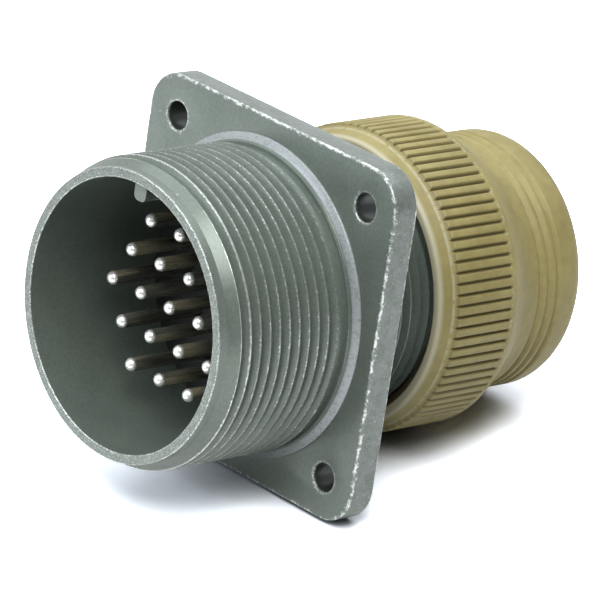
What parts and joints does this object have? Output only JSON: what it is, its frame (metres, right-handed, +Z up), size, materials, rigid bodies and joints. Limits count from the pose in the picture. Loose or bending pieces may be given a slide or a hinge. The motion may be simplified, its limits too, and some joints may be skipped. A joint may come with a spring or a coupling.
{
  "type": "circular connector receptacle",
  "caption": "Square-flanged circular receptacle with a threaded coupling barrel, keyed socket, round pin contacts and a knurled screw-on endbell for the cable side.",
  "frame": {"origin": "centre of the flange's rear face, on the connector's axis", "axes": "+Y along the axis from the mating end to the cable end, +Z up and +X across the upright flange"},
  "size_m": [0.0412, 0.0575, 0.0412],
  "materials": {
    "shell_plating": "satin grey-green conversion coating, worn to bare metal on crests and edges",
    "endbell_plating": "matt olive-drab conversion coating with darker stains",
    "ring_plating": "matt olive-drab conversion coating",
    "insert_moulding": "moulded, matt, near black",
    "contact_plating": "silver plated, polished nose, lightly tarnished shaft",
    "spring_steel": "plain spring steel",
    "grommet_rubber": "moulded rubber, matt"
  },
  "bodies": {
    "receptacle": {"shell": "shell_plating", "front_insert": "insert_moulding", "rear_insert": "insert_moulding", "retaining_ring": "spring_steel", "grommet": "grommet_rubber", "contact_a": "contact_plating", "contact_b": "contact_plating", "contact_c": "contact_plating", "contact_d": "contact_plating", "contact_e": "contact_plating", "contact_f": "contact_plating", "contact_g": "contact_plating", "contact_h": "contact_plating", "contact_j": "contact_plating", "contact_k": "contact_plating", "contact_l": "contact_plating", "contact_m": "contact_plating", "contact_n": "contact_plating", "contact_p": "contact_plating", "contact_r": "contact_plating", "contact_s": "contact_plating", "contact_t": "contact_plating", "contact_u": "contact_plating", "contact_v": "contact_plating"},
    "grommet_follower": {"slip_ring": "ring_plating"},
    "backshell": {"endbell": "endbell_plating"}
  },
  "joints": [
    {"name": "endbell_travel", "type": "slide", "parent": "receptacle", "child": "grommet_follower", "axis": [0, 1, 0], "range_m": [0, 0.00495]},
    {"name": "endbell_turn", "type": "hinge", "parent": "grommet_follower", "child": "backshell", "pos_m": [0, 0, 0], "axis": [0, 1, 0], "range_deg": [0, 1260]}
  ],
  "couplings": [
    {"joint": "endbell_travel", "follows": "endbell_turn", "m_per_rad": 0.00022459}
  ]
}
